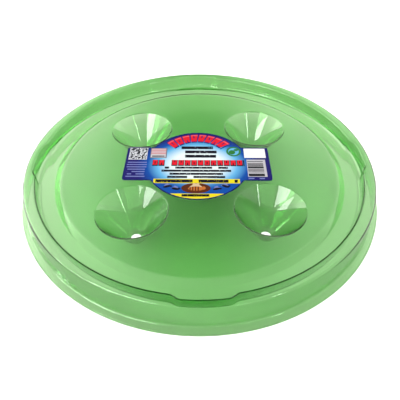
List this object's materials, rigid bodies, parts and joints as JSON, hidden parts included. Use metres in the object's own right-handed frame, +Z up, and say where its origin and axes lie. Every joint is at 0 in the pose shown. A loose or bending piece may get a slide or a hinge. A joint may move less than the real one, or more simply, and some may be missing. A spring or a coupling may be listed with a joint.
{
  "type": "funnel trap lid",
  "caption": "Clear green pail lid with deep open funnels that let insects in, a moat inside a raised rim, and a printed label on its deck.",
  "frame": {"origin": "on the lid's axis, in the plane of the four funnel tips that the lid stands on", "axes": "+Z up along the lid's axis, +X to the right and -Y towards the front, where the label reads upright"},
  "size_m": [0.3312, 0.3312, 0.0495],
  "materials": {
    "clear_green": "clear green moulded plastic, glossy",
    "label_print": "printed sticker with a satin film"
  },
  "bodies": {
    "root": {"rim": "clear_green", "skirt": "clear_green", "hem": "clear_green", "inner_wall": "clear_green", "moat_floor": "clear_green", "riser": "clear_green", "deck": "clear_green", "mouth_front_left": "clear_green", "mouth_front_right": "clear_green", "mouth_rear_left": "clear_green", "mouth_rear_right": "clear_green", "funnel_front_left": "clear_green", "funnel_front_right": "clear_green", "funnel_rear_left": "clear_green", "funnel_rear_right": "clear_green", "throat_front_left": "clear_green", "throat_front_right": "clear_green", "throat_rear_left": "clear_green", "throat_rear_right": "clear_green", "label": "label_print"}
  },
  "joints": []
}
